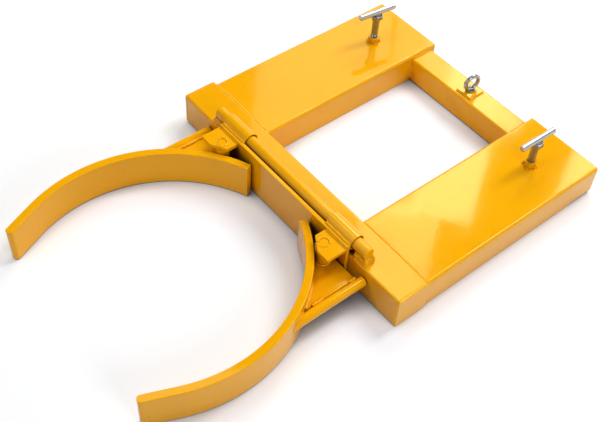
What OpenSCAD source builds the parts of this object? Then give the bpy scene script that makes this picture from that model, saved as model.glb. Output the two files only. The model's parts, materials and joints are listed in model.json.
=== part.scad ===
// Fork-mounted drum lifter: two fork pockets, a tilting carrier and two gripping arms.
// Millimetres, +Z up, arms towards -Y, origin under the middle of the front crossbar.

/* [Front crossbar] */
// Height of the front crossbar
bar_h = 75; // [64:1:90]
// Depth of the front crossbar, front to back
bar_d = 75; // [56:1:90]
// Wall of the front crossbar tube
bar_wall = 5; // [3:0.5:6]
// How far the front crossbar stands out past each pocket
bar_over = 3; // [2:0.5:30]
// Outer corner radius of the front crossbar
bar_r = 4.5; // [3:0.5:10]
// Thickness of the plates that close the front crossbar
cap_t = 5; // [3:0.5:8]

/* [Fork pockets] */
// Outer width of one pocket
pocket_w = 184; // [150:1:210]
// Clear distance between the two pockets
pocket_gap = 292; // [260:1:360]
// Length of a pocket
pocket_l = 481; // [400:0.5:560]
// Height of a pocket's roof above the floor
pocket_h = 70; // [58:0.5:80]
// Thickness of the folded pocket sheet
sheet_t = 5; // [3:0.5:6]
// Outer radius of the pocket's folds
bend_r = 7; // [6:0.5:12]
// Length of the strap under a pocket's mouth
strap_l = 65; // [40:1:90]
// Thickness of that strap
strap_t = 5; // [3:0.5:8]

/* [Rear crossbar] */
// Width and height of the rear crossbar tube
rear_s = 60; // [40:1:64]
// Wall of the rear crossbar tube
rear_wall = 4; // [3:0.5:5]
// Outer corner radius of the rear crossbar
rear_r = 5; // [4:0.5:8]
// Distance from the rear crossbar to the pocket mouths
rear_inset = 10; // [0:0.5:40]

/* [Hinge] */
// Diameter of the hinge rod
rod_d = 25; // [20:0.5:30]
// Outer diameter of the hinge sleeves
sleeve_d = 34; // [32:0.5:42]
// Length of a hinge sleeve
sleeve_l = 70; // [40:1:100]
// Radial clearance of the sleeves on the rod
hinge_clear = 0.9; // [0.3:0.1:0.9]
// Lead-in chamfer of the sleeve bores
sleeve_lead = 2; // [0.5:0.1:2.2]
// Air between the sleeves and the top of the front crossbar
sleeve_air = 6.5; // [6:0.5:20]
// Length of the seat under each end of the rod
seat_l = 26; // [20:1:45]
// Width of that seat
seat_w = 17; // [10:0.5:18]
// Side play between a sleeve and a seat
seat_play = 8.5; // [1:0.5:15]
// Chamfer on the ends of round bars
bar_end = 1.5; // [0.5:0.1:2.5]

/* [Carrier] */
// Length of the carrier plate
plate_l = 391; // [360:1:440]
// Thickness of the carrier plate
plate_t = 8; // [6:0.5:12]
// Gap between the carrier plate and the front crossbar
plate_gap = 0.6; // [0.5:0.1:6]
// Height of the carrier plate's lower edge above the floor
plate_lift = 4; // [2:0.5:12]
// Height of the carrier plate's upper edge above the rod axis
plate_over = 4.5; // [0:0.5:8]
// Width of an ear
ear_w = 60; // [52:1:70]
// Depth of an ear
ear_d = 45; // [40:0.5:60]
// Thickness of an ear
ear_t = 8; // [6:0.5:12]
// Distance from the upper ears down from the carrier plate's edge
ear_drop = 5; // [0:0.5:12]
// Air between an ear's cut corner and the arm
ear_air = 3; // [2:0.1:5]

/* [Pivots] */
// Diameter of a pivot pin
pin_d = 20; // [16:0.5:24]
// Distance from a pivot pin to the ear's inner edge
pin_in = 22.5; // [18:0.5:26]
// Distance from a pivot pin to the carrier plate
pin_out = 23; // [22:0.2:32]
// Radial clearance of a pivot bush on its pin
pin_clear = 0.3; // [0.2:0.05:0.4]
// Outer diameter of a pivot bush
bush_d = 32; // [28:0.5:34]
// End play of a pivot bush between its ears
bush_play = 0.3; // [0.1:0.1:1]

/* [Arms] */
// Diameter of the drum that the arms are rolled to fit
drum_d = 572; // [540:1:600]
// Distance from a pivot pin to the arm's outer face
pin_off = 17; // [17:0.5:26]
// Thickness of the arm bar
arm_t = 16; // [10:0.5:18]
// Height of the arm bar's lower edge above the floor
arm_lift = 1.5; // [1:0.5:8]
// Height of the arm bar
arm_h = 80; // [70:1:86]
// Chamfer along the arm bar's edges
arm_edge = 1.2; // [0.5:0.1:3]
// Gap between an arm's rear end and the carrier plate
arm_room = 3.4; // [2:0.1:10]
// Angle round the arm circle, from straight behind it, at which the bend ends
arm_bend = 113; // [100:1:130]
// Straight end of an arm beyond its bend
arm_flat = 72; // [30:1:110]
// Angle by which the empty arms close past the drum
arm_close = 5.7; // [4:0.1:8]
// Angle by which an arm opens from rest
arm_open = 5.8; // [4:0.1:6]

/* [Levers] */
// Thickness of a lever plate
lever_t = 10; // [8:0.5:14]
// Height of the lever plates above the middle of the arms
lever_up = 3; // [-6:0.5:8]
// Edge of the lever plate left round the bush
lever_rim = 6; // [4:0.5:10]
// Air left between a lever plate and the carrier plate when open
lever_air = 0.6; // [0.4:0.1:3]
// Slit between a lever plate and its push bar, bridged by stitch welds
lever_slit = 0.7; // [0.2:0.1:0.9]
// Diameter of a push bar
push_d = 20; // [16:0.5:24]
// Distance from a push bar to its pivot pin, sideways
push_out = 83.5; // [74:0.5:90]
// Height of the push bars above the middle of the lever plates
push_up = 2; // [0:0.5:4]
// Gap between a push bar's nose and the front crossbar
push_gap = 0.4; // [0.2:0.1:1]
// Chamfer of a push bar's nose
nose_c = 3; // [2:0.5:5]

/* [Clamp screws] */
// Diameter of a clamp bolt
bolt_d = 16; // [12:1:20]
// Length of a clamp bolt under its head
bolt_l = 80; // [74:1:86]
// Width across flats of the bolt heads and nuts
hex_w = 24; // [21:1:30]
// Height of the turned-down corners of heads and nuts
hex_turn = 2; // [1:0.1:3]
// Height of a bolt head
head_h = 10; // [8:0.5:13]
// Height of a weld nut
nut_h = 13; // [10:0.5:16]
// Radial clearance of a clamp bolt in its nut and in the roof
bolt_clear = 0.3; // [0.1:0.1:0.6]
// Distance from a clamp bolt to the pocket's mouth
clamp_in = 107; // [76:1:160]
// Distance from a weld nut up to the bolt head
clamp_raise = 51; // [46:1:60]
// How much deeper the right screw is turned in than the left one
right_deeper = 8; // [0:0.5:20]
// Diameter of a tee bar
tee_d = 12.5; // [8:0.5:16]
// Length of a tee bar
tee_l = 94; // [70:1:130]
// Angle of the left tee bar to the pockets
tee_left = 7; // [-90:1:90]
// Angle of the right tee bar to the pockets
tee_right = 1; // [-90:1:90]

/* [Eye bolt] */
// Outer diameter of the ring
eye_od = 42; // [40:1:54]
// Inner diameter of the ring
eye_id = 24; // [20:1:30]
// Diameter of the collar under the ring
collar_d = 22; // [20:0.5:30]
// Height of the collar
collar_h = 7; // [6:0.5:12]
// Height of the ring's middle above the pad
eye_up = 21; // [20:0.5:30]
// Distance of the eye from the middle, towards the right pocket
eye_side = 5; // [-20:0.5:20]
// Diameter of the shank
shank_d = 10; // [8:0.5:12]
// Length of the shank
shank_l = 17; // [12:0.5:24]
// Angle of the ring to the pockets
eye_turn = 10; // [-90:1:90]
// Side of the square pad under the collar
pad_s = 40; // [32:1:46]
// Thickness of the pad
pad_t = 5; // [4:0.5:10]

/* [Hidden] */
$fn = 96;
// Room left between welded pieces that pass through each other
weld_gap = 0.1;
paint = [0.96, 0.65, 0.03];
zinc = [0.78, 0.79, 0.80];

// Front crossbar and pockets
bar_l = pocket_gap + 2 * pocket_w + 2 * bar_over;
bar_front = -bar_d / 2;
bar_rear = bar_d / 2;
pocket_x = (pocket_gap + pocket_w) / 2;
pocket_mouth = bar_rear + pocket_l;
rear_y = pocket_mouth - rear_inset - rear_s / 2;

// Carrier plate, hinge axis and ears
plate_rear = bar_front - plate_gap;
plate_front = plate_rear - plate_t;
plate_end = plate_l / 2;
rod_y = plate_rear + sleeve_d / 2 + weld_gap / 2;
rod_z = bar_h + sleeve_air + sleeve_d / 2;
rod_l = plate_l + 2 * (seat_play + seat_l);
bore_r = rod_d / 2 + hinge_clear;
plate_top = rod_z + plate_over;
upper_ear_z = plate_top - ear_drop - ear_t;
lower_ear_z = plate_lift;

// Pivot pins, and the arm circle swung in from the drum by arm_close
pin_x = plate_end - ear_w + pin_in;
pin_y = plate_front - pin_out;
drum_r = drum_d / 2;
arm_r = drum_r + arm_t;
drum_y = pin_y - sqrt(pow(arm_r + pin_off, 2) - pow(pin_x, 2));
fit_x = -pin_x;
fit_y = drum_y - pin_y;
arm_x = pin_x + fit_x * cos(arm_close) + fit_y * sin(arm_close);
arm_y = pin_y - fit_x * sin(arm_close) + fit_y * cos(arm_close);
// The arm starts where its outer face comes within arm_room of the carrier plate
arm_rear_angle = acos(min(1, (plate_front - arm_room - arm_y) / arm_r));
arm_span = arm_bend - arm_rear_angle;
pin_dir = atan2(pin_y - arm_y, pin_x - arm_x) + arm_open / 2;

// Levers and push bars
lever_z = arm_lift + arm_h / 2 + lever_up - lever_t / 2;
push_x = pin_x + push_out;
push_nose = bar_front - push_gap;
push_tip = arm_y + sqrt(pow(arm_r, 2) - pow(push_x + push_d / 2 - arm_x, 2));
lever_side = push_x - push_d / 2 - lever_slit;
lever_swing = (plate_end - pin_x) * sin(arm_open);
lever_rear = pin_y + (pin_out - lever_air - lever_swing) / cos(arm_open);
lever_inner = pin_x - bush_d / 2 - lever_rim;

// Clamp screws and eye bolt
clamp_y = pocket_mouth - clamp_in;
nut_top = pocket_h + nut_h;
head_z = nut_top + clamp_raise;
tee_z = head_z + head_h + tee_d / 2;
bolt_hole = bolt_d + 2 * bolt_clear;
pad_z = rear_s + pad_t;
ring_d = (eye_od - eye_id) / 2;

// Helpers

module on_left() {
    mirror([1, 0, 0]) children();
}

// Turns a profile in Y and Z into a bar along X, centred on the middle plane
module along_x(l) {
    translate([-l / 2, 0, 0]) rotate([90, 0, 90]) linear_extrude(l) children();
}

// Rounded rectangle standing on the base line
module rounded_rect(w, h, r) {
    translate([-w / 2 + r, 0]) square([w - 2 * r, h]);
    translate([-w / 2, r]) square([w, h - 2 * r]);
    for (x = [-1, 1], y = [r, h - r]) translate([x * (w / 2 - r), y]) circle(r);
}

module tube_profile(w, h, r, wall) {
    difference() {
        rounded_rect(w, h, r);
        translate([0, wall]) rounded_rect(w - 2 * wall, h - 2 * wall, max(r - wall, 1));
    }
}

// Arch with round shoulders, open below
module arch(w, h, r) {
    translate([-w / 2, 0]) square([w, h - r]);
    translate([-w / 2 + r, 0]) square([w - 2 * r, h]);
    for (x = [-1, 1]) translate([x * (w / 2 - r), h - r]) circle(r);
}

// Round bar standing on the floor, chamfered at both ends
module round_bar(d, l, c) {
    r = d / 2;
    rotate_extrude() polygon([[0, 0], [r - c, 0], [r, c], [r, l - c], [r - c, l], [0, l]]);
}

// Hexagon with its upper corners turned down
module hexagon(w, h) {
    corner_r = w / sqrt(3);
    intersection() {
        cylinder(h = h, r = corner_r, $fn = 6);
        rotate_extrude()
            polygon([[0, 0], [2 * w, 0], [2 * w, h - hex_turn], [corner_r, h - hex_turn], [w / 2, h], [0, h]]);
    }
}

// Cylinder of the arm's outer face, to cut what is welded against it
module arm_cut() {
    translate([arm_x, arm_y, 0]) cylinder(r = arm_r, h = 2 * arm_h, $fn = 256);
}

// Frame

module front_crossbar() {
    color(paint) along_x(bar_l - 2 * cap_t) tube_profile(bar_d, bar_h, bar_r, bar_wall);
}

module crossbar_cap() {
    color(paint) translate([bar_l / 2 - cap_t / 2, 0, 0]) along_x(cap_t) rounded_rect(bar_d, bar_h, bar_r);
}

module left_crossbar_cap() {
    on_left() crossbar_cap();
}

module right_crossbar_cap() {
    crossbar_cap();
}

// Folded channel, open below, let out for the strap and with the clamp bolt's hole in its roof
module fork_pocket() {
    color(paint) translate([pocket_x, 0, 0]) difference() {
        translate([0, pocket_mouth, 0]) rotate([90, 0, 0]) linear_extrude(pocket_l) difference() {
            arch(pocket_w, pocket_h, bend_r);
            translate([0, -1]) arch(pocket_w - 2 * sheet_t, pocket_h - sheet_t + 1, max(bend_r - sheet_t, 1));
        }
        translate([-pocket_w / 2 - 1, pocket_mouth - strap_l, -1]) cube([pocket_w + 2, strap_l + 1, strap_t + 1]);
        translate([0, clamp_y, pocket_h - sheet_t - 1]) cylinder(d = bolt_hole, h = sheet_t + 2);
    }
}

module left_fork_pocket() {
    on_left() fork_pocket();
}

module right_fork_pocket() {
    fork_pocket();
}

module pocket_strap() {
    color(paint) translate([pocket_x - pocket_w / 2, pocket_mouth - strap_l, 0])
        cube([pocket_w, strap_l, strap_t]);
}

module left_pocket_strap() {
    on_left() pocket_strap();
}

module right_pocket_strap() {
    pocket_strap();
}

module rear_crossbar() {
    color(paint) difference() {
        translate([0, rear_y, 0]) along_x(pocket_gap) tube_profile(rear_s, rear_s, rear_r, rear_wall);
        translate([eye_side, rear_y, rear_s - rear_wall - 1]) cylinder(d = shank_d + 2 * weld_gap, h = rear_wall + 2);
    }
}

module hinge_rod() {
    color(paint) translate([-rod_l / 2, rod_y, rod_z]) rotate([0, 90, 0]) round_bar(rod_d, rod_l, bar_end);
}

// Block between the crossbar and the rod, hollowed to the rod
module rod_seat() {
    color(paint) difference() {
        translate([rod_l / 2 - seat_l, rod_y - seat_w / 2, bar_h]) cube([seat_l, seat_w, rod_z - bar_h]);
        translate([rod_l / 2 - seat_l - 1, rod_y, rod_z])
            rotate([0, 90, 0]) cylinder(r = rod_d / 2 + weld_gap, h = seat_l + 2);
    }
}

module left_rod_seat() {
    on_left() rod_seat();
}

module right_rod_seat() {
    rod_seat();
}

module clamp_nut() {
    color(paint) translate([pocket_x, clamp_y, pocket_h]) difference() {
        hexagon(hex_w, nut_h);
        translate([0, 0, -1]) cylinder(d = bolt_hole, h = nut_h + 2);
    }
}

module left_clamp_nut() {
    on_left() clamp_nut();
}

module right_clamp_nut() {
    clamp_nut();
}

module eye_pad() {
    color(paint) translate([eye_side, rear_y, rear_s]) difference() {
        translate([-pad_s / 2, -pad_s / 2, 0]) cube([pad_s, pad_s, pad_t]);
        translate([0, 0, -1]) cylinder(d = shank_d + 2 * weld_gap, h = pad_t + 2);
    }
}

// Forged ring on a collar, with its shank through the pad and the tube
module eye_bolt() {
    color(zinc) translate([eye_side, rear_y, pad_z]) rotate([0, 0, 90 - eye_turn]) {
        translate([0, 0, eye_up]) rotate([90, 0, 0])
            rotate_extrude() translate([(eye_id + ring_d) / 2, 0]) circle(d = ring_d);
        rotate_extrude() polygon([
            [0, -shank_l], [shank_d / 2 - 1, -shank_l], [shank_d / 2, 1 - shank_l], [shank_d / 2, 0],
            [collar_d / 2 - 0.5, 0], [collar_d / 2, 0.5], [collar_d / 2, collar_h / 2],
            [ring_d * 0.7, collar_h], [0, collar_h]
        ]);
    }
}

// Carrier

module carrier_plate() {
    color(paint) translate([-plate_end, plate_front, plate_lift])
        cube([plate_l, plate_t, plate_top - plate_lift]);
}

module hinge_sleeve() {
    outer_r = sleeve_d / 2;
    lead_r = bore_r + sleeve_lead;
    color(paint) translate([plate_end - sleeve_l, rod_y, rod_z]) rotate([0, 90, 0]) rotate_extrude() polygon([
        [bore_r, sleeve_lead], [lead_r, 0], [outer_r, 0],
        [outer_r, sleeve_l], [lead_r, sleeve_l], [bore_r, sleeve_l - sleeve_lead]
    ]);
}

module left_hinge_sleeve() {
    on_left() hinge_sleeve();
}

module right_hinge_sleeve() {
    hinge_sleeve();
}

// Ear with its inner front corner cut square to the arm
module ear(z) {
    color(paint) translate([0, 0, z]) linear_extrude(ear_t) difference() {
        translate([plate_end - ear_w, plate_front - ear_d]) square([ear_w, ear_d]);
        translate([pin_x, pin_y]) rotate(pin_dir)
            translate([-2 * arm_r - pin_off + ear_air, -arm_r]) square(2 * arm_r);
        translate([pin_x, pin_y]) circle(r = pin_d / 2 + weld_gap);
    }
}

module left_upper_ear() {
    on_left() ear(upper_ear_z);
}

module right_upper_ear() {
    ear(upper_ear_z);
}

module left_lower_ear() {
    on_left() ear(lower_ear_z);
}

module right_lower_ear() {
    ear(lower_ear_z);
}

module pivot_pin() {
    color(paint) translate([pin_x, pin_y, lower_ear_z])
        round_bar(pin_d, upper_ear_z + ear_t - lower_ear_z, bar_end);
}

module left_pivot_pin() {
    on_left() pivot_pin();
}

module right_pivot_pin() {
    pivot_pin();
}

// Arms

// Flat bar rolled to the drum, with broken edges
module arm_profile() {
    translate([drum_r, 0]) polygon([
        [arm_edge, 0], [arm_t - arm_edge, 0], [arm_t, arm_edge], [arm_t, arm_h - arm_edge],
        [arm_t - arm_edge, arm_h], [arm_edge, arm_h], [0, arm_h - arm_edge], [0, arm_edge]
    ]);
}

module arm_band() {
    color(paint) translate([arm_x, arm_y, arm_lift]) rotate(90 - arm_bend) {
        rotate_extrude(angle = arm_span, $fn = 256) arm_profile();
        rotate([90, 0, 0]) linear_extrude(arm_flat) arm_profile();
    }
}

module left_arm_band() {
    on_left() arm_band();
}

module right_arm_band() {
    arm_band();
}

// Plate between the bush, the arm and the push bar
module arm_lever() {
    color(paint) difference() {
        translate([0, 0, lever_z]) linear_extrude(lever_t) polygon([
            [lever_inner, lever_rear], [lever_side, lever_rear],
            [lever_side, arm_y + arm_r / 2], [lever_inner, arm_y + arm_r / 2]
        ]);
        arm_cut();
        translate([pin_x, pin_y, lever_z - 1]) cylinder(r = bush_d / 2 + weld_gap, h = lever_t + 2);
    }
}

module left_arm_lever() {
    on_left() arm_lever();
}

module right_arm_lever() {
    arm_lever();
}

module pivot_bush() {
    bush_z = lower_ear_z + ear_t + bush_play;
    bush_h = upper_ear_z - bush_play - bush_z;
    color(paint) translate([pin_x, pin_y, bush_z]) difference() {
        cylinder(d = bush_d, h = bush_h);
        translate([0, 0, -1]) cylinder(r = pin_d / 2 + pin_clear, h = bush_h + 2);
    }
}

module left_pivot_bush() {
    on_left() pivot_bush();
}

module right_pivot_bush() {
    pivot_bush();
}

// Round bar with a chamfered nose, cut to the arm at its other end
module push_bar() {
    r = push_d / 2;
    l = push_nose - push_tip;
    color(paint) difference() {
        translate([push_x, push_nose, lever_z + lever_t / 2 + push_up]) rotate([90, 0, 0]) rotate_extrude()
            polygon([[0, 0], [r - nose_c, 0], [r, nose_c], [r, l], [0, l]]);
        arm_cut();
    }
}

module left_push_bar() {
    on_left() push_bar();
}

module right_push_bar() {
    push_bar();
}

// Clamp screws

module clamp_bolt(deeper) {
    color(zinc) translate([pocket_x, clamp_y, head_z - deeper]) {
        hexagon(hex_w, head_h);
        translate([0, 0, -bolt_l]) round_bar(bolt_d, bolt_l, bar_end);
    }
}

module left_clamp_bolt() {
    on_left() clamp_bolt(0);
}

module right_clamp_bolt() {
    clamp_bolt(right_deeper);
}

module tee_bar(side, turn, deeper) {
    color(zinc) translate([side * pocket_x, clamp_y, tee_z - deeper]) rotate([0, 0, -turn])
        translate([0, tee_l / 2, 0]) rotate([90, 0, 0]) round_bar(tee_d, tee_l, bar_end);
}

module left_tee_bar() {
    tee_bar(-1, tee_left, 0);
}

module right_tee_bar() {
    tee_bar(1, tee_right, right_deeper);
}

front_crossbar();
left_crossbar_cap();
right_crossbar_cap();
left_fork_pocket();
right_fork_pocket();
left_pocket_strap();
right_pocket_strap();
rear_crossbar();
hinge_rod();
left_rod_seat();
right_rod_seat();
left_clamp_nut();
right_clamp_nut();
eye_pad();
eye_bolt();
carrier_plate();
left_hinge_sleeve();
right_hinge_sleeve();
left_upper_ear();
right_upper_ear();
left_lower_ear();
right_lower_ear();
left_pivot_pin();
right_pivot_pin();
left_arm_band();
left_arm_lever();
left_pivot_bush();
left_push_bar();
right_arm_band();
right_arm_lever();
right_pivot_bush();
right_push_bar();
left_clamp_bolt();
left_tee_bar();
right_clamp_bolt();
right_tee_bar();
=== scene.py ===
import json
import math

import bmesh
import bpy
from mathutils import Matrix, Vector, noise

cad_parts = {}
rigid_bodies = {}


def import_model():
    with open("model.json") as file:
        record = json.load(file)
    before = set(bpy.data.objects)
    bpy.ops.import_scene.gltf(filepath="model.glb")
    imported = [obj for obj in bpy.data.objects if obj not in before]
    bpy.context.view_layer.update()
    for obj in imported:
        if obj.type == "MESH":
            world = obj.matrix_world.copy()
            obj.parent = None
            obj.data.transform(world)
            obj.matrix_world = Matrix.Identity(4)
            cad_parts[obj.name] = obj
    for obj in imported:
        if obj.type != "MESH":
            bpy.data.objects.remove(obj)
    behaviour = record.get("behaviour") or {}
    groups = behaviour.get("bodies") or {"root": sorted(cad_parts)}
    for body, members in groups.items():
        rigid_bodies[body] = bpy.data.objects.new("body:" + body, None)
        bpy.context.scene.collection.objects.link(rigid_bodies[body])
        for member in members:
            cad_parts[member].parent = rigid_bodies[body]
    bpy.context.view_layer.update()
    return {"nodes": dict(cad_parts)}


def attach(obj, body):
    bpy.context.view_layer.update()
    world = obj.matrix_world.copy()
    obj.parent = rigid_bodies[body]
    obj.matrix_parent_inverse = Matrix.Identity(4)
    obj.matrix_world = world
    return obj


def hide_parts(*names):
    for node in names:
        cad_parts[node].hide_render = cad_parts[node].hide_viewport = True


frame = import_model()
scene = bpy.context.scene
scene.view_settings.view_transform = "Standard"
print("frame loaded, nodes:", len(frame["nodes"]))

milli = 0.001
bothSides = (("left", -1.0), ("right", 1.0))


def mm(x, y, z):
    return Vector((x, y, z)) * milli


def addMesh(name, verts, faces, body, material):
    mesh = bpy.data.meshes.new(name)
    mesh.from_pydata([tuple(v) for v in verts], [], faces)
    mesh.validate()
    bm = bmesh.new()
    bm.from_mesh(mesh)
    bmesh.ops.recalc_face_normals(bm, faces=bm.faces)
    bm.to_mesh(mesh)
    bm.free()
    for poly in mesh.polygons:
        poly.use_smooth = True
    mesh.materials.append(material)
    piece = bpy.data.objects.new(name, mesh)
    scene.collection.objects.link(piece)
    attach(piece, body)
    return piece


# nodes that the materials share
def mapRange(nt, source, fromLow, fromHigh, toLow, toHigh):
    r = nt.nodes.new("ShaderNodeMapRange")
    r.inputs["From Min"].default_value = fromLow
    r.inputs["From Max"].default_value = fromHigh
    r.inputs["To Min"].default_value = toLow
    r.inputs["To Max"].default_value = toHigh
    nt.links.new(source, r.inputs["Value"])
    return r


def noiseFac(nt, coords, layer):
    n = nt.nodes.new("ShaderNodeTexNoise")
    n.inputs["Scale"].default_value = layer["scale"]
    n.inputs["Detail"].default_value = layer["detail"]
    n.inputs["Roughness"].default_value = layer["rough"]
    nt.links.new(coords.outputs["Object"], n.inputs["Vector"])
    return n.outputs["Fac"]


def blendTone(nt, factor, first, second):
    m = nt.nodes.new("ShaderNodeMix")
    m.data_type = "RGBA"
    nt.links.new(factor, m.inputs[0])
    for socket, tone in ((m.inputs[6], first), (m.inputs[7], second)):
        if isinstance(tone, tuple):
            socket.default_value = (*tone, 1.0)
        else:
            nt.links.new(tone, socket)
    return m.outputs[2]


def mathNode(nt, operation, first, second):
    m = nt.nodes.new("ShaderNodeMath")
    m.operation = operation
    nt.links.new(first, m.inputs[0])
    nt.links.new(second, m.inputs[1])
    return m.outputs[0]


def bumpNormal(nt, height, strength, depth, under=None):
    b = nt.nodes.new("ShaderNodeBump")
    b.inputs["Strength"].default_value = strength
    b.inputs["Distance"].default_value = depth
    nt.links.new(height, b.inputs["Height"])
    if under is not None:
        nt.links.new(under, b.inputs["Normal"])
    return b.outputs["Normal"]


# enamel sprayed over welded steel: orange peel, slow waves, dust nibs, thin edges partly lightened as a painted
# highlight, and painted shade in the nooks
enamelLook = {
    "tone": (0.95, 0.44, 0.0015),
    "deepTone": (0.93, 0.415, 0.0015),
    # lighter edge tone: partly wear, partly a painted highlight along the edges
    "edgeTone": (0.97, 0.50, 0.02),
    "nibTone": (0.42, 0.14, 0.004),
    # near-black tone for the painted shade in the nooks
    "nookTone": (0.07, 0.016, 0.0005),
    "smearTone": (0.66, 0.25, 0.002),
    "roughLow": 0.05, "roughHigh": 0.12,
    "ior": 1.5, "shine": 0.24, "shineTone": (1.0, 0.92, 0.22),
    "coat": 0.26, "coatIor": 1.42, "coatRough": 0.012,
    "cloud": {"scale": 7.0, "detail": 3.0, "rough": 0.55, "start": 0.35, "full": 0.65},
    "patchy": {"scale": 95.0, "detail": 4.0, "rough": 0.6, "start": 0.40, "full": 0.66},
    "hands": {"scale": 11.0, "detail": 7.0, "rough": 0.68, "start": 0.56, "full": 0.76},
    "specks": {"scale": 150.0, "detail": 1.0, "rough": 0.3, "start": 0.80, "full": 0.83},
    "nibs": {"scale": 480.0, "detail": 1.0, "rough": 0.4, "start": 0.745, "full": 0.80},
    "smear": {"scale": 34.0, "detail": 5.0, "rough": 0.62, "start": 0.32, "full": 0.72},
    "peel": {"scale": 135.0, "detail": 2.0, "rough": 0.5},
    "wave": {"scale": 13.0, "detail": 1.0, "rough": 0.4},
    "peelDepth": 0.0002, "waveDepth": 0.0011, "waveStrength": 0.15,
    "edgeRadius": 0.0016, "edgeStart": 0.985, "edgeFull": 0.86, "edgeWorn": 0.75,
    "handsDark": 0.30,
    # reach and strength of the painted shade in the nooks
    "nookReach": 0.05, "nookStart": 0.46, "nookFull": 0.12, "nookDark": 0.9,
}


def makeEnamel(name, look, peelStrength, grime):
    mat = bpy.data.materials.new(name)
    mat.use_nodes = True
    nt = mat.node_tree
    shader = nt.nodes["Principled BSDF"]
    shader.inputs["IOR"].default_value = look["ior"]
    shader.inputs["Specular IOR Level"].default_value = look["shine"]
    shader.inputs["Specular Tint"].default_value = (*look["shineTone"], 1.0)
    shader.inputs["Coat Weight"].default_value = look["coat"]
    shader.inputs["Coat IOR"].default_value = look["coatIor"]
    shader.inputs["Coat Roughness"].default_value = look["coatRough"]
    coords = nt.nodes.new("ShaderNodeTexCoord")

    def mask(layerName, low, high):
        layer = look[layerName]
        return mapRange(nt, noiseFac(nt, coords, layer), layer["start"], layer["full"], low, high).outputs["Result"]

    tone = blendTone(nt, mask("cloud", 0.0, 1.0), look["tone"], look["deepTone"])

    # edges where the paint draws thin, lightened in patches: partly wear, partly a painted highlight along the rounded
    # edges; the rounded normal turns away from the face
    rounded = nt.nodes.new("ShaderNodeBevel")
    rounded.samples = 4
    rounded.inputs["Radius"].default_value = look["edgeRadius"]
    geo = nt.nodes.new("ShaderNodeNewGeometry")
    dot = nt.nodes.new("ShaderNodeVectorMath")
    dot.operation = "DOT_PRODUCT"
    nt.links.new(rounded.outputs["Normal"], dot.inputs[0])
    nt.links.new(geo.outputs["Normal"], dot.inputs[1])
    edge = mapRange(nt, dot.outputs["Value"], look["edgeStart"], look["edgeFull"], 0.0, 1.0)
    wearAndHighlight = mathNode(nt, "MULTIPLY", edge.outputs["Result"], mask("patchy", 0.0, look["edgeWorn"]))
    tone = blendTone(nt, wearAndHighlight, tone, look["edgeTone"])

    # smears from handling, then dust nibs and specks
    tone = blendTone(nt, mask("hands", 0.0, look["handsDark"]), tone, look["smearTone"])
    tone = blendTone(nt, mask("specks", 0.0, grime), tone, look["nibTone"])
    tone = blendTone(nt, mask("nibs", 0.0, grime), tone, look["nibTone"])

    # painted shade deep in the nooks between the pieces: the colour goes near black where the ambient occlusion is
    # strong
    occlusionProbe = nt.nodes.new("ShaderNodeAmbientOcclusion")
    occlusionProbe.samples = 8
    occlusionProbe.inputs["Distance"].default_value = look["nookReach"]
    paintedShadeFactor = mapRange(nt, occlusionProbe.outputs["AO"], look["nookStart"], look["nookFull"], 0.0, look["nookDark"])
    tone = blendTone(nt, paintedShadeFactor.outputs["Result"], tone, look["nookTone"])
    nt.links.new(tone, shader.inputs["Base Color"])
    nt.links.new(mask("smear", look["roughLow"], look["roughHigh"]), shader.inputs["Roughness"])

    slow = bumpNormal(nt, noiseFac(nt, coords, look["wave"]), look["waveStrength"], look["waveDepth"])
    fine = bumpNormal(nt, noiseFac(nt, coords, look["peel"]), peelStrength, look["peelDepth"], slow)
    nt.links.new(fine, shader.inputs["Normal"])
    nt.links.new(fine, shader.inputs["Coat Normal"])
    return mat


enamel = makeEnamel("enamel", enamelLook, 0.23, 0.55)
weldEnamel = makeEnamel("weldEnamel", enamelLook, 0.85, 0.85)

# bright zinc plate: cloudy, with a fine grain
zincGrain = {
    "cloud": {"scale": 90.0, "detail": 4.0, "rough": 0.5, "start": 0.3, "full": 0.7},
    "grain": {"scale": 900.0, "detail": 2.0, "rough": 0.5},
    "strength": 0.25, "depth": 0.00012,
}
barLook = {
    "tone": (0.56, 0.565, 0.58), "cloudTone": (0.36, 0.36, 0.36),
    "roughLow": 0.27, "roughHigh": 0.42, "metal": 1.0,
}
shankLook = {
    "tone": (0.40, 0.40, 0.44), "cloudTone": (0.20, 0.20, 0.22),
    "roughLow": 0.12, "roughHigh": 0.24, "metal": 0.82,
}
forgedLook = {
    "tone": (0.50, 0.505, 0.51), "cloudTone": (0.24, 0.24, 0.24),
    "roughLow": 0.14, "roughHigh": 0.27, "metal": 1.0,
}


def makeZinc(name, look):
    mat = bpy.data.materials.new(name)
    mat.use_nodes = True
    nt = mat.node_tree
    shader = nt.nodes["Principled BSDF"]
    shader.inputs["Metallic"].default_value = look["metal"]
    coords = nt.nodes.new("ShaderNodeTexCoord")
    layer = zincGrain["cloud"]
    cloud = noiseFac(nt, coords, layer)
    nt.links.new(blendTone(nt, cloud, look["tone"], look["cloudTone"]), shader.inputs["Base Color"])
    dull = mapRange(nt, cloud, layer["start"], layer["full"], look["roughLow"], look["roughHigh"])
    nt.links.new(dull.outputs["Result"], shader.inputs["Roughness"])
    grain = noiseFac(nt, coords, zincGrain["grain"])
    nt.links.new(bumpNormal(nt, grain, zincGrain["strength"], zincGrain["depth"]), shader.inputs["Normal"])
    return mat


zinc = makeZinc("zincPlate", barLook)
boltZinc = makeZinc("boltZinc", shankLook)
eyeZinc = makeZinc("eyeZinc", forgedLook)
print("finishes made")

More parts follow.
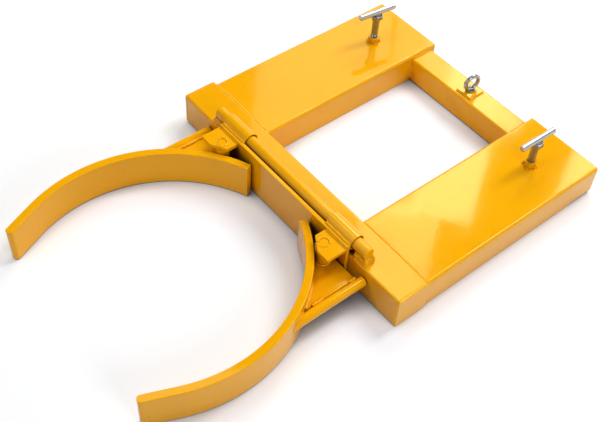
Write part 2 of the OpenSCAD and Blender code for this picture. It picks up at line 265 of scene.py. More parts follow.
# steel stock has broken edges; the radius in mm for each kind of piece
softEdges = {
    "front_crossbar": 0.5, "crossbar_cap": 0.8, "fork_pocket": 0.9, "pocket_strap": 0.8, "rear_crossbar": 0.5,
    "hinge_rod": 0.6, "rod_seat": 1.0, "clamp_nut": 0.5, "eye_pad": 1.0, "carrier_plate": 0.9, "hinge_sleeve": 0.6,
    "upper_ear": 1.1, "lower_ear": 1.1, "pivot_pin": 0.5, "arm_band": 0.9, "arm_lever": 1.0, "pivot_bush": 0.6,
    "push_bar": 0.7, "tee_bar": 0.6, "clamp_bolt": 0.4, "eye_bolt": 0.3,
}
zincNodes = ("tee_bar", "clamp_bolt", "eye_bolt")
edgeWork = {"merge": 0.00002, "flatAngle": 0.15, "segments": 3, "sharpAngle": 32, "weight": 80}

for nodeName, node in frame["nodes"].items():
    kind = nodeName.replace("left_", "").replace("right_", "")
    node.data.materials.clear()
    node.data.materials.append(zinc if kind in zincNodes else enamel)
    weld = node.modifiers.new("joinSeams", "WELD")
    weld.merge_threshold = edgeWork["merge"]
    flat = node.modifiers.new("wholeFlats", "DECIMATE")
    flat.decimate_type = "DISSOLVE"
    flat.angle_limit = math.radians(edgeWork["flatAngle"])
    soft = node.modifiers.new("brokenEdges", "BEVEL")
    soft.width = softEdges[kind] * milli
    soft.segments = edgeWork["segments"]
    soft.limit_method = "ANGLE"
    soft.angle_limit = math.radians(edgeWork["sharpAngle"])
    soft.harden_normals = True
    even = node.modifiers.new("evenShade", "WEIGHTED_NORMAL")
    even.keep_sharp = False
    even.weight = edgeWork["weight"]
print("edges broken")

# a run of weld is a swept bead with ripples; lengths in mm
beadLook = {
    "pitch": 2.7, "ripple": 0.13, "crest": 0.35, "wander": 0.16, "sides": 10, "step": 0.9, "lumps": 0.16,
    "wanderScale": 140, "lumpScale": 95, "grit": 0.06, "gritScale": 700, "endRun": 1.3, "endLeast": 0.05,
}
# a heap of weld is a pile of lumps under one skin; voxel in m
heapLook = {
    "voxel": 0.0007, "smoothing": 3, "spread": 0.18, "spreadScale": 260,
    "coarseScale": 300, "fineScale": 800, "fineShare": 0.3,
}


def resample(points, step, closed):
    pts = list(points) + ([points[0]] if closed else [])
    out, carry = [pts[0].copy()], 0.0
    for a, b in zip(pts, pts[1:]):
        span = (b - a).length
        if span < 1e-9:
            continue
        at = step - carry
        while at <= span:
            out.append(a.lerp(b, at / span))
            at += step
        carry = span - (at - step)
    if not closed and (out[-1] - pts[-1]).length > step * 0.4:
        out.append(pts[-1].copy())
    return out


def joinRings(starts, count, faces):
    for a, b in zip(starts, starts[1:]):
        for k in range(count):
            n = (k + 1) % count
            faces.append((a + k, a + n, b + n, b + k))


def capEnds(starts, count, faces):
    for start in (starts[0], starts[-1]):
        faces.append(tuple(start + k for k in range(count)))


def layBead(name, body, points, radius, closed, seed, lumps, material):
    look = beadLook
    step = look["step"] * milli
    pts = resample([mm(*p) for p in points], step, closed)
    r0, count, sides = radius * milli, len(pts), look["sides"]
    verts, faces = [], []
    for i, p in enumerate(pts):
        before = pts[i - 1] if i or closed else p
        after = pts[(i + 1) % count] if i < count - 1 or closed else p
        along = (after - before).normalized()
        side = along.cross(Vector((0, 0, 1)))
        if side.length < 0.3:
            side = along.cross(Vector((1, 0, 0)))
        side.normalize()
        up = side.cross(along)
        s = i * step
        jitter = noise.noise_vector(p * look["wanderScale"] + Vector((seed, 0, 0))) * look["wander"] * r0
        ripple = 1 + look["ripple"] * (1 - 2 * abs(((s * 1000 / look["pitch"]) % 1) - look["crest"]))
        swell = 1 + lumps * noise.noise(p * look["lumpScale"] + Vector((0, seed, 3)))
        end = 1.0
        if not closed:
            gone = min(s, (count - 1) * step - s) / (look["endRun"] * r0)
            end = math.sqrt(max(look["endLeast"], 1 - (1 - min(1.0, gone)) ** 2))
        r = r0 * ripple * swell * end
        for k in range(sides):
            a = 2 * math.pi * k / sides
            d = side * math.cos(a) + up * math.sin(a)
            rough = 1 + look["grit"] * noise.noise((p + d * r) * look["gritScale"])
            verts.append(p + jitter + d * r * rough)
    starts = [i * sides for i in range(count)]
    joinRings(starts + [0] if closed else starts, sides, faces)
    if not closed:
        capEnds(starts, sides, faces)
    return addMesh(name, verts, faces, body, material)


def skinOver(raw, voxel, smoothing):
    skin = raw.modifiers.new("skin", "REMESH")
    skin.mode = "VOXEL"
    skin.voxel_size = voxel
    calm = raw.modifiers.new("calm", "SMOOTH")
    calm.iterations = smoothing
    return raw.evaluated_get(bpy.context.evaluated_depsgraph_get()).to_mesh()


def heapWeld(name, body, lumpsAt, depth, seed):
    look = heapLook
    bm = bmesh.new()
    for x, y, z, r in lumpsAt:
        at = mm(x, y, z)
        r = r * milli * (1 + look["spread"] * noise.noise(at * look["spreadScale"] + Vector((seed, 0, 0))))
        bmesh.ops.create_icosphere(bm, subdivisions=2, radius=r, matrix=Matrix.Translation(at))
    mesh = bpy.data.meshes.new(name)
    bm.to_mesh(mesh)
    bm.free()
    raw = bpy.data.objects.new(name + "Raw", mesh)
    scene.collection.objects.link(raw)
    done = skinOver(raw, look["voxel"], look["smoothing"])
    verts = []
    for v in done.vertices:
        push = noise.noise(v.co * look["coarseScale"] + Vector((seed, 1, 0)))
        push += look["fineShare"] * noise.noise(v.co * look["fineScale"] + Vector((0, seed, 2)))
        verts.append(v.co + v.normal * push * depth * milli / 2)
    faces = [tuple(f.vertices) for f in done.polygons]
    bpy.data.objects.remove(raw)
    bpy.data.meshes.remove(mesh)
    return addMesh(name, verts, faces, body, weldEnamel)


def circlePath(cx, cy, z, r, steps=40):
    turns = [2 * math.pi * k / steps for k in range(steps)]
    return [(cx + r * math.cos(a), cy + r * math.sin(a), z) for a in turns]


# places of the frame, in mm
place = {
    "barFront": -37.5, "barRear": 37.5, "barTop": 75.0, "capIn": 328.0,
    "pocketIn": 146.0, "pocketOut": 330.0, "pocketTop": 70.0, "mouth": 518.5, "strapFront": 453.5,
    "rearFront": 448.5, "rearBack": 508.5, "rearTop": 60.0, "eyeX": 5.0, "eyeY": 478.5, "eyePadHalf": 20.0,
    "rodY": -21.05, "rodEnd": 230.0, "seatIn": 204.0, "seatHalf": 8.5,
    "plateFront": -46.1, "plateRear": -38.1, "plateEnd": 195.5, "sleeveIn": 125.5,
    "sleeveSeam": 103.2, "sleeveUnder": 90.4,
    "earIn": 135.5, "earTop": 98.0, "earUnder": 90.0, "lowEarTop": 12.0,
    "pinX": 158.0, "pinY": -69.1, "pinWeldR": 11.4, "armX": -26.74, "armY": -329.16, "armR": 302.0,
    "leverTop": 49.5, "leverUnder": 39.5, "leverSide": 230.8, "bushR": 16.0,
    "pushX": 241.5, "pushZ": 46.5, "pushR": 10.0, "screwX": 238.0, "screwY": 411.5, "nutWeldR": 14.0,
}
# radius of each run of weld, in mm
weldR = {
    "capWeldFront": 1.7, "capWeldRear": 1.7, "capWeldTop": 1.5,
    "pocketRoofWeld": 3.6, "pocketOuterWeld": 2.3, "pocketInnerWeld": 3.0,
    "rearTopWeld": 2.8, "rearFrontWeld": 2.6, "rearBackWeld": 2.6, "strapFrontWeld": 1.6, "strapInnerWeld": 1.3,
    "sleeveWeld": 2.9, "sleeveUnderWeld": 1.5, "upperEarWeld": 2.7, "upperEarUnderWeld": 2.4, "lowerEarWeld": 2.4,
    "pinWeld": 2.6, "pinWeldThin": 1.9, "bushWeld": 2.3, "bushUnderWeld": 2.3, "armWeld": 2.5, "armUnderWeld": 2.5,
    "seamFill": 4.0, "pushWeld": 2.3, "eyePadWeld": 2.4,
}
# how far each heap's skin is pushed about
heapDepth = {"rodHeap": 1.5, "rearStitch": 1.2, "foreStitch": 1.2, "nutWeld": 1.0}


def onArm(x):
    return place["armY"] + math.sqrt(place["armR"] ** 2 - (x - place["armX"]) ** 2)


def rodLumps():
    y0, y1 = place["rodY"] - place["seatHalf"], place["rodY"] + place["seatHalf"]
    x0, x1, t = place["seatIn"], place["rodEnd"], place["barTop"]
    lumpsAt = []
    for k in range(7):
        x = x0 + 1 + (x1 - x0) * k / 6.0
        lumpsAt += [
            (x, y0 - 1.6, t + 1.0, 4.8), (x + 1.5, y0 - 1.0, t + 6.5, 4.2),
            (x, y1 + 1.6, t + 1.0, 4.6), (x, y1 + 0.8, t + 7.0, 4.0),
            (x, y0 - 0.8, t + 11.5, 3.0 - 0.5 * (k % 2)), (x, y1 + 0.6, t + 12.0, 2.8 - 0.5 * (k % 3)),
        ]
    for k in range(5):
        y = y0 + (y1 - y0) * k / 4.0
        lumpsAt += [
            (x1 + 1.8, y, t + 1.2, 4.8 - 0.7 * (k % 2)), (x1 + 1.0, y + 1, t + 6.5, 4.4 - 0.8 * (k % 2)),
            (x0, y, t + 1.0, 3.6), (x1 - 0.5, y, t + 11.0 + 1.6 * abs(k - 2), 3.0),
        ]
    # spatter round the foot
    lumpsAt += [
        (x1 + 6.5, y0 - 1, t - 0.4, 3.0), (x1 + 5.5, y1 - 3, t - 0.6, 2.6),
        (x0 + 6, y0 - 6.5, t - 0.6, 2.6), (x1 - 5, y1 + 6.2, t - 0.6, 2.8),
    ]
    return lumpsAt


def stitchLumps(first, count, aside, lift, size, less):
    x, z = place["leverSide"], place["leverTop"]
    return [(x - 0.5 + aside * (k % 2), first - 2.6 * k, z + lift, size - less * (k % 3)) for k in range(count)]


def nutLumps():
    lumpsAt = []
    for a in (205, 292, 20, 118):
        for d in (-14, 0, 13):
            w = math.radians(a + d)
            x = place["screwX"] + place["nutWeldR"] * math.cos(w)
            y = place["screwY"] + place["nutWeldR"] * math.sin(w)
            lumpsAt.append((x, y, place["pocketTop"] + 0.6, 3.4 - 0.06 * abs(d)))
    return lumpsAt


def pushWrap():
    wrap = []
    for k in range(25):
        a = math.radians(178 - 7.2 * k)
        x = place["pushX"] + place["pushR"] * math.cos(a)
        wrap.append((x, onArm(x), place["pushZ"] + place["pushR"] * math.sin(a)))
    return wrap


for sideName, s in bothSides:
    arm = sideName + "_arm"

    def bead(label, body, points, closed=False, lumps=beadLook["lumps"]):
        seed = 3.0 + 5.0 * s + 1.7 * len(scene.objects)
        points = [(s * x, y, z) for x, y, z in points]
        layBead(sideName + "_" + label, body, points, weldR[label], closed, seed, lumps, weldEnamel)

    def heap(label, body, lumpsAt):
        lumpsAt = [(s * x, y, z, r) for x, y, z, r in lumpsAt]
        heapWeld(sideName + "_" + label, body, lumpsAt, heapDepth[label], 11.0 + 3.0 * s)

    # crossbar end: the cap is welded all round and ground nearly flush
    front, rear, top, cap = (place[k] for k in ("barFront", "barRear", "barTop", "capIn"))
    bead("capWeldFront", "frame", [(cap, front + 0.9, 8), (cap, front + 0.9, top - 8)])
    bead("capWeldRear", "frame", [(cap, rear - 0.9, 8), (cap, rear - 0.9, top - 8)])
    bead("capWeldTop", "frame", [(cap, front + 8, top - 1.1), (cap, rear - 8, top - 1.1)])
    # pocket to crossbar
    inner, outer, roof = (place[k] for k in ("pocketIn", "pocketOut", "pocketTop"))
    bead("pocketRoofWeld", "frame", [(inner + 5, rear + 0.6, roof + 0.6), (outer - 5, rear + 0.6, roof + 0.6)])
    bead("pocketOuterWeld", "frame", [(outer - 0.4, rear + 0.8, 7), (outer - 0.4, rear + 0.8, 56)])
    bead("pocketInnerWeld", "frame", [(inner, rear + 0.8, 7), (inner, rear + 0.8, 56)])
    # rear crossbar to pocket
    near, away, high = (place[k] for k in ("rearFront", "rearBack", "rearTop"))
    bead("rearTopWeld", "frame", [(inner, near + 5, high), (inner, away - 5, high)])
    bead("rearFrontWeld", "frame", [(inner, near, 6), (inner, near, 45)])
    bead("rearBackWeld", "frame", [(inner, away, 6), (inner, away, 45)])
    # strap under the mouth
    strapY = place["strapFront"]
    bead("strapFrontWeld", "frame", [(inner + 6, strapY, 5), (inner + 1, strapY, 4)])
    bead("strapInnerWeld", "frame", [(inner + 0.4, strapY + 3, 5), (inner + 0.4, near - 2, 5)])
    # rod seat and rod end: runs of weld heaped over each other
    heap("rodHeap", "frame", rodLumps())
    # sleeve on the plate's upper edge, and under it
    sleeveIn, plateEnd, behind = (place[k] for k in ("sleeveIn", "plateEnd", "plateRear"))
    seam, below = place["sleeveSeam"], place["sleeveUnder"]
    bead("sleeveWeld", "carrier", [(sleeveIn + 1, behind - 0.2, seam), (plateEnd - 1, behind - 0.2, seam)], lumps=0.25)
    bead("sleeveUnderWeld", "carrier", [(sleeveIn + 1, behind + 1.6, below), (plateEnd - 1, behind + 1.6, below)])
    # ears
    earIn, plateY = place["earIn"], place["plateFront"]
    for label, level in (("upperEarWeld", "earTop"), ("upperEarUnderWeld", "earUnder"), ("lowerEarWeld", "lowEarTop")):
        bead(label, "carrier", [(earIn + 1, plateY, place[level]), (plateEnd - 1, plateY, place[level])])
    pinX, pinY = place["pinX"], place["pinY"]
    ring = circlePath(pinX, pinY, place["earTop"] - 0.5, place["pinWeldR"], 60)
    bead("pinWeld", "carrier", ring[4:40], lumps=0.45)
    bead("pinWeldThin", "carrier", [(x, y, z - 0.5) for x, y, z in ring[38:] + ring[:6]], lumps=0.3)
    # lever plate: round the bush, along the arm and stitched to the push bar
    bead("bushWeld", arm, circlePath(pinX, pinY, place["leverTop"], place["bushR"] + 0.3), closed=True)
    bead("bushUnderWeld", arm, circlePath(pinX, pinY, place["leverUnder"], place["bushR"] + 0.3), closed=True)
    armRun = [140 + 88 * k / 30 for k in range(31)]
    bead("armWeld", arm, [(x, onArm(x) + 0.2, place["leverTop"]) for x in armRun])
    bead("armUnderWeld", arm, [(x, onArm(x) + 0.2, place["leverUnder"]) for x in armRun])
    heap("rearStitch", arm, stitchLumps(-53.5, 5, 0.8, 1.4, 4.2, 0.5))
    heap("foreStitch", arm, stitchLumps(-130.0, 9, 0.7, 1.2, 4.0, 0.4))
    # the far bar's seam is filled along its length
    if s < 0:
        fillX, fillZ = place["leverSide"] + 0.4, place["leverTop"] + 0.8
        bead("seamFill", arm, [(fillX, -54 - 4 * k, fillZ) for k in range(25)], lumps=0.3)
    bead("pushWeld", arm, pushWrap())
    # weld nut
    heap("nutWeld", "frame", nutLumps())

e, ex, ey, ez = (place[k] for k in ("eyePadHalf", "eyeX", "eyeY", "rearTop"))
padCorners = [(ex - e, ey - e, ez), (ex + e, ey - e, ez), (ex + e, ey + e, ez), (ex - e, ey + e, ez)]
layBead("eyePadWeld", "frame", padCorners, weldR["eyePadWeld"], True, 41.0, 0.3, weldEnamel)
print("welds laid")

# arm band: flat bar rolled to the drum, with a straight end and its corners rounded off, in mm
bandLook = {
    "rearAngle": 22.18, "bend": 113.0, "turn": 1.0, "flat": 72.0, "flatStep": 8.0, "thick": 16.0,
    "z0": 1.5, "z1": 81.5, "edge": 1.5, "leastHalf": 0.2,
    "rearRings": ((0.0, 0.8), (0.25, 0.22), (0.8, 0.0)),  # set back, pinched in
    "tip": 6.5, "tipTurns": (0, 18, 36, 52, 66, 78, 86), "tipRun": 0.6, "tipShare": 0.5, "tipDrop": 0.9,
}


def makeBand(sideName, s, look):
    half, e, tip = look["thick"] / 2, look["edge"], look["tip"]
    mid = place["armR"] - half
    # path in plan: distance along it, place, outward direction
    path = []
    bent = look["bend"] - look["rearAngle"]
    steps = int(bent / look["turn"])
    for k in range(steps + 1):
        a = math.radians(look["rearAngle"] + bent * k / steps)
        out = Vector((math.sin(a), math.cos(a), 0))
        at = Vector((place["armX"], place["armY"], 0)) + out * mid
        path.append((math.radians(look["turn"]) * mid * k, at, out))
    start, corner, out = path[-1]
    along = Vector((out.y, -out.x, 0))
    ends = [look["flatStep"] * k for k in range(1, 8)]
    ends += [look["flat"] - tip * (1 - math.sin(math.radians(w))) for w in look["tipTurns"]]
    for d in ends:
        path.append((start + d, corner + along * d, out))
    length = start + look["flat"]
    profile = []
    for cn, cz, first in ((1, 1, 0), (-1, 1, 90), (-1, -1, 180), (1, -1, 270)):
        for k in range(4):
            w = math.radians(first + 30 * k)
            z = (look["z1"] - e if cz > 0 else look["z0"] + e) + e * math.sin(w)
            profile.append((cn * (half - e) + e * math.cos(w), z))
    middle = (look["z0"] + look["z1"]) / 2
    verts, faces, rings = [], [], []

    def ring(at, out, pinch, low):
        rings.append(len(verts))
        for n, z in profile:
            n = math.copysign(max(look["leastHalf"], abs(n) - pinch), n)
            z = middle + math.copysign(abs(z - middle) - low, z - middle)
            v = at + out * n
            verts.append(mm(s * v.x, v.y, z))

    firstAt, firstOut = path[0][1:]
    back = Vector((-firstOut.y, firstOut.x, 0))
    for setBack, pinch in look["rearRings"]:
        ring(firstAt - back * setBack, firstOut, pinch, pinch)
    for d, at, out in path[1:]:
        left = length - d
        pinch = 0.0
        if left < tip:
            pinch = tip - math.sqrt(max(0.0, tip ** 2 - (tip - left) ** 2))
        ring(at, out, pinch, look["tipShare"] * max(0.0, look["tipRun"] - left))
    lastD, lastAt, lastOut = path[-1]
    ring(lastAt + along * (length - lastD), lastOut, tip, look["tipDrop"])
    joinRings(rings, len(profile), faces)
    capEnds(rings, len(profile), faces)
    band = addMesh(sideName + "_rolledBand", verts, faces, sideName + "_arm", enamel)
    even = band.modifiers.new("evenShade", "WEIGHTED_NORMAL")
    even.weight = edgeWork["weight"]
    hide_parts(sideName + "_arm_band")


for sideName, s in bothSides:
    makeBand(sideName, s, bandLook)
print("arm bands rolled")

# clamp bolt: hex head with washer face, plain shank and rolled thread, in mm
boltLook = {
    "headZ": {"left": 134.0, "right": 126.0}, "headH": 10.0, "flat": 24.0, "length": 80.0, "r": 8.0, "sides": 48,
    "threaded": 38.0, "pitch": 2.0, "perPitch": 8, "depth": 0.9, "flank": 1.25, "crest": 0.12,
    "runout": 3.0, "lead": 1.6, "leadR": 0.86, "leadGain": 0.14,
    "neck": ((1.2, 0.0), (0.3, 0.5), (0.0, 1.2)),  # below the head, wider than the shank
    "washer": ((0.0, 0.8), (0.6, 0.7)),  # up, inside the flats
    "foot": ((0.6, 13.2), (1.3, 13.86)),  # up, limit of the corners
    "crown": ((1.6, 13.86), (0.8, 12.9), (0.0, 11.6)),  # down from the top, limit of the corners
    "topR": 10.6, "splitAngle": 38,
}
# the bolt's head is tacked to the tee bar on both sides, in mm
tackLook = {"aside": 4.6, "half": 6.5, "lift": 0.6, "r": 1.7, "lumps": 0.3, "seed": 60.0}


def makeBolt(sideName, s, look, tack):
    verts, faces, rings, sides = [], [], [], look["sides"]
    cx, cy = s * place["screwX"], place["screwY"]
    base = look["headZ"][sideName]
    tip, top = base - look["length"], base + look["headH"]

    def ring(z, radiusAt):
        rings.append(len(verts))
        for k in range(sides):
            a = 2 * math.pi * k / sides
            r = radiusAt(a)
            verts.append(mm(cx + r * math.cos(a), cy + r * math.sin(a), z))

    def roundR(r):
        return lambda a: r

    def hexR(limit):
        def at(a):
            w = (a + math.pi / 6) % (math.pi / 3) - math.pi / 6
            return min(look["flat"] / 2 / math.cos(w), limit)
        return at

    def threadR(z):
        def at(a):
            turn = (z / look["pitch"] - a / (2 * math.pi)) % 1.0
            cut = min(1.0, max(0.0, abs(turn - 0.5) * 2.0 * look["flank"] - look["crest"]))
            fade = min(1.0, max(0.0, (tip + look["threaded"] - z) / look["runout"]))
            lead = min(1.0, (z - tip) / look["lead"])
            return (look["r"] - look["depth"] * cut * fade) * (look["leadR"] + look["leadGain"] * lead)
        return at

    steps = int(look["threaded"] / look["pitch"] * look["perPitch"])
    for i in range(steps + 1):
        z = tip + look["threaded"] * i / steps
        ring(z, threadR(z))
    for down, wider in look["neck"]:
        ring(base - down, roundR(look["r"] + wider))
    for up, inside in look["washer"]:
        ring(base + up, roundR(look["flat"] / 2 - inside))
    for up, limit in look["foot"]:
        ring(base + up, hexR(limit))
    for down, limit in look["crown"]:
        ring(top - down, hexR(limit))
    ring(top, roundR(look["topR"]))
    joinRings(rings, sides, faces)
    capEnds(rings, sides, faces)
    bolt = addMesh(sideName + "_threadedBolt", verts, faces, sideName + "_screw", boltZinc)
    crisp = bolt.modifiers.new("crispEdges", "EDGE_SPLIT")
    crisp.split_angle = math.radians(look["splitAngle"])
    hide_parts(sideName + "_clamp_bolt")
    for k, d in enumerate((-1.0, 1.0)):
        x, z = cx + d * tack["aside"], top + tack["lift"]
        layBead(
            sideName + "_teeTack%d" % k, sideName + "_screw", [(x, cy - tack["half"], z), (x, cy + tack["half"], z)],
            tack["r"], False, tack["seed"] + k + s, tack["lumps"], zinc,
        )


for sideName, s in bothSides:
    makeBolt(sideName, s, boltLook, tackLook)
print("clamp bolts made")

# the strap stops short of the pocket's outer face, so a slot shows under the wall; in mm
strapLook = {"inset": 3.5, "thick": 5.0, "edge": 0.8, "segments": 3}


def makeStrap(sideName, s, look):
    xEnds = sorted((s * place["pocketIn"], s * (place["pocketOut"] - look["inset"])))
    wide, deep, thick = xEnds[1] - xEnds[0], place["mouth"] - place["strapFront"], look["thick"]
    bm = bmesh.new()
    size = Matrix.Diagonal((milli * wide, milli * deep, milli * thick, 1.0))
    bmesh.ops.create_cube(bm, size=1.0, matrix=size)
    bmesh.ops.bevel(
        bm, geom=list(bm.edges), offset=milli * look["edge"], segments=look["segments"], profile=0.5, affect="EDGES"
    )
    mid = mm(sum(xEnds) / 2, place["strapFront"] + deep / 2, thick / 2)
    bm.verts.index_update()
    verts = [v.co + mid for v in bm.verts]
    faces = [[v.index for v in f.verts] for f in bm.faces]
    bm.free()
    strap = addMesh(sideName + "_trimmedStrap", verts, faces, "frame", enamel)
    even = strap.modifiers.new("even", "WEIGHTED_NORMAL")
    even.keep_sharp = True
    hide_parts(sideName + "_pocket_strap")


for sideName, s in bothSides:
    makeStrap(sideName, s, strapLook)
print("straps trimmed")

# the eye bolt is a forging: its ring runs into the collar without a crease; voxel in m
eyeLook = {"voxel": 0.0005, "smoothing": 14}
eyeNode = frame["nodes"]["eye_bolt"]
rawEye = bpy.data.objects.new("eyeRaw", eyeNode.data.copy())
rawEye.matrix_world = eyeNode.matrix_world
scene.collection.objects.link(rawEye)
done = skinOver(rawEye, eyeLook["voxel"], eyeLook["smoothing"])
eyeVerts = [rawEye.matrix_world @ v.co for v in done.vertices]
eyeFaces = [tuple(f.vertices) for f in done.polygons]
bpy.data.objects.remove(rawEye)
forgedEye = addMesh("forgedEye", eyeVerts, eyeFaces, "frame", eyeZinc)
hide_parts("eye_bolt")
print("eye bolt forged")

# camera where the photograph was taken from; distances in m, angles in degrees, lens and sensor in mm
cameraView = {
    "target": (0.0122, -0.00085, 0.0), "distance": 1.9249,
    "azimuth": 47.6465, "elevation": 49.5921, "roll": 4.4266, "lens": 57.5049, "sensor": 36.0,
}


def aimCamera(v):
    az, el, roll = (math.radians(v[k]) for k in ("azimuth", "elevation", "roll"))
    back = Vector((math.sin(az) * math.cos(el), -math.cos(az) * math.cos(el), math.sin(el)))
    right = Vector((0, 0, 1)).cross(back).normalized()
    up = back.cross(right)
    right, up = right * math.cos(roll) + up * math.sin(roll), up * math.cos(roll) - right * math.sin(roll)
    data = bpy.data.cameras.new("photoCamera")
    data.lens, data.sensor_width = v["lens"], v["sensor"]
    cam = bpy.data.objects.new("photoCamera", data)
    scene.collection.objects.link(cam)
    turn = Matrix((right, up, back)).transposed().to_4x4()
    turn.translation = Vector(v["target"]) + back * v["distance"]
    cam.matrix_world = turn
    scene.camera = cam
    return cam


camera = aimCamera(cameraView)
print("camera aimed")

# softboxes, by the directions in which the mirrored camera sees them in the pocket tops, in degrees
softboxes = {
    "wideBox": {"az": (-52.0, -41.5), "el": (36.0, 49.5), "glow": 2.8},
    "midBox": {"az": (-41.5, -37.2), "el": (43.0, 49.0), "glow": 7.0},
    "brightBox": {"az": (-37.2, -32.5), "el": (37.0, 48.6), "glow": 11.6},
    "cornerBox": {"az": (-41.5, -39.2), "el": (36.0, 43.0), "glow": 2.8},
    "riseBox": {"az": (-39.2, -37.2), "el": (36.0, 43.0), "glow": 5.6},
    "endBox": {"az": (-32.5, -30.8), "el": (38.0, 42.8), "glow": 10.2},
    "lowBox": {"az": (-42.5, -34.8), "el": (48.5, 55.5), "glow": 6.8},
    "sideBox": {"az": (-26.2, -20.0), "el": (38.0, 46.5), "glow": 10.2},
}
boxFar = 5.5
warmGlow = (1.0, 0.99, 0.74)
# lamps in m and W; the back one draws the line along each fold
lamps = {
    "keyLight": {"place": (-0.5, -0.1, 2.5), "wide": 1.3, "high": 1.3, "watts": 14.0},
    "backLight": {"place": (0.22, 2.35, 3.3), "wide": 0.85, "high": 1.7, "watts": 68.0},
    "fillLight": {"place": (3.0, -0.2, 1.5), "wide": 1.2, "high": 1.2, "watts": 34.0},
    "frontLight": {"place": (-0.9, -2.1, 1.9), "wide": 1.4, "high": 1.4, "watts": 13.0},
}


def addLamp(name, at, aim, wide, high, watts):
    data = bpy.data.lights.new(name, "AREA")
    data.shape = "RECTANGLE"
    data.size, data.size_y = wide, high
    data.energy = watts
    lamp = bpy.data.objects.new(name, data)
    scene.collection.objects.link(lamp)
    lamp.location = at
    lamp.rotation_euler = (Vector(aim) - Vector(at)).to_track_quat("-Z", "Y").to_euler()
    lamp.visible_camera = False
    return lamp


mirrored = camera.matrix_world.translation.copy()
mirrored.z = 2 * milli * place["pocketTop"] - mirrored.z
for name, b in softboxes.items():
    az, el = (math.radians(sum(b[k]) / 2) for k in ("az", "el"))
    azSpan, elSpan = (math.radians(b[k][1] - b[k][0]) for k in ("az", "el"))
    toward = Vector((math.sin(az) * math.cos(el), math.cos(az) * math.cos(el), math.sin(el)))
    wide = 2 * boxFar * math.tan(azSpan / 2) * math.cos(el)
    high = 2 * boxFar * math.tan(elSpan / 2)
    box = addLamp(name, mirrored + toward * boxFar, mirrored, wide, high, b["glow"] * math.pi * wide * high)
    box.data.color = warmGlow
for name, b in lamps.items():
    addLamp(name, b["place"], (0, 0, 0), b["wide"], b["high"], b["watts"])
print("lamps hung")

# dim ceiling over a pale floor and a pale round wall; the camera and shiny surfaces see those white
room = {
    "ceiling": 0.08, "wallRadius": 8.5, "wallHeight": 4.0, "wallSink": 0.01, "wallSides": 96,
    "floorSize": 9.0, "floorSink": 0.0002, "floorTone": (0.80, 0.808, 0.865), "floorRough": 0.9, "floorShine": 0.1,
    "lift": 0.24, "fadeFrom": 0.9, "fadeTo": 2.6,
    # reach and levels of the floor's painted shadow near the frame
    "nookReach": 0.16, "nookFrom": 0.2, "nookTo": 0.56, "nookShade": 0.1,
}


def seenDirectly(nt):
    path = nt.nodes.new("ShaderNodeLightPath")
    last = path.outputs["Is Camera Ray"]
    for kind in ("Is Glossy Ray", "Is Transmission Ray"):
        last = mathNode(nt, "MAXIMUM", last, path.outputs[kind])
    return last


def addSet(name, bm, z, matName):
    mesh = bpy.data.meshes.new(name)
    bm.to_mesh(mesh)
    bm.free()
    piece = bpy.data.objects.new(name, mesh)
    piece.location.z = z
    scene.collection.objects.link(piece)
    mat = bpy.data.materials.new(matName)
    mat.use_nodes = True
    mesh.materials.append(mat)
    return piece, mat.node_tree


world = bpy.data.worlds.new("studio")
world.use_nodes = True
sky = world.node_tree.nodes["Background"]
sky.inputs["Color"].default_value = (1.0, 1.0, 1.0, 1.0)
sky.inputs["Strength"].default_value = room["ceiling"]
scene.world = world

radius = room["wallRadius"]
bm = bmesh.new()
bmesh.ops.create_cone(
    bm, cap_ends=False, segments=room["wallSides"], radius1=radius, radius2=radius, depth=room["wallHeight"]
)
wall, nt = addSet("backdrop", bm, room["wallHeight"] / 2 - room["wallSink"], "paleWall")
shade = nt.nodes.new("ShaderNodeEmission")
level = mapRange(nt, seenDirectly(nt), 0.0, 1.0, room["ceiling"], 1.0)
nt.links.new(level.outputs["Result"], shade.inputs["Strength"])
nt.links.new(shade.outputs[0], nt.nodes["Material Output"].inputs["Surface"])

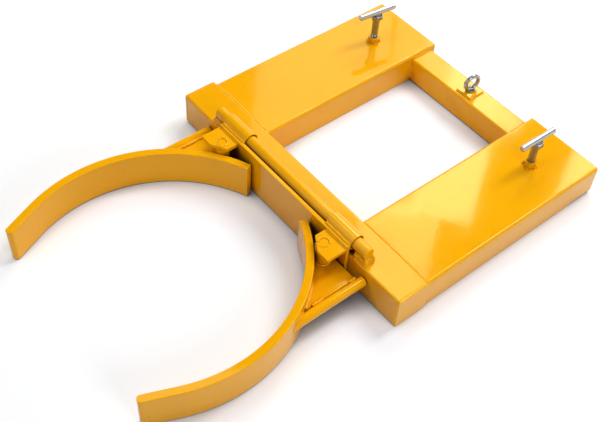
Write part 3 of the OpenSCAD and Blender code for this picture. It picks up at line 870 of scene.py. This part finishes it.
bm = bmesh.new()
bmesh.ops.create_grid(bm, x_segments=1, y_segments=1, size=room["floorSize"])
floor, nt = addSet("floor", bm, -room["floorSink"], "paleFloor")
paper = nt.nodes["Principled BSDF"]
paper.inputs["Roughness"].default_value = room["floorRough"]
paper.inputs["Specular IOR Level"].default_value = room["floorShine"]
spot = nt.nodes.new("ShaderNodeNewGeometry")
away = nt.nodes.new("ShaderNodeVectorMath")
away.operation = "LENGTH"
nt.links.new(spot.outputs["Position"], away.inputs[0])
fade = mapRange(nt, away.outputs["Value"], room["fadeFrom"], room["fadeTo"], room["lift"], 1.0)
fade.interpolation_type = "SMOOTHSTEP"
# painted shadow: the floor's colour and glow darken where the frame shuts it in, as in the inner corners
occlusionProbe = nt.nodes.new("ShaderNodeAmbientOcclusion")
occlusionProbe.inputs["Distance"].default_value = room["nookReach"]
paintedShadeFactor = mapRange(nt, occlusionProbe.outputs["AO"], room["nookFrom"], room["nookTo"], room["nookShade"], 1.0)
shadowedFloorTone = nt.nodes.new("ShaderNodeVectorMath")
shadowedFloorTone.operation = "SCALE"
shadowedFloorTone.inputs[0].default_value = room["floorTone"]
nt.links.new(paintedShadeFactor.outputs["Result"], shadowedFloorTone.inputs["Scale"])
nt.links.new(shadowedFloorTone.outputs["Vector"], paper.inputs["Base Color"])
dimmed = mathNode(nt, "MULTIPLY", fade.outputs["Result"], paintedShadeFactor.outputs["Result"])
glow = nt.nodes.new("ShaderNodeEmission")
nt.links.new(mathNode(nt, "MULTIPLY", dimmed, seenDirectly(nt)), glow.inputs["Strength"])
both = nt.nodes.new("ShaderNodeAddShader")
nt.links.new(paper.outputs[0], both.inputs[0])
nt.links.new(glow.outputs[0], both.inputs[1])
# seen from below the floor is clear, so the underside can be looked at
clear = nt.nodes.new("ShaderNodeBsdfTransparent")
under = nt.nodes.new("ShaderNodeMixShader")
nt.links.new(spot.outputs["Backfacing"], under.inputs[0])
nt.links.new(both.outputs[0], under.inputs[1])
nt.links.new(clear.outputs[0], under.inputs[2])
nt.links.new(under.outputs[0], nt.nodes["Material Output"].inputs["Surface"])
print("studio set")
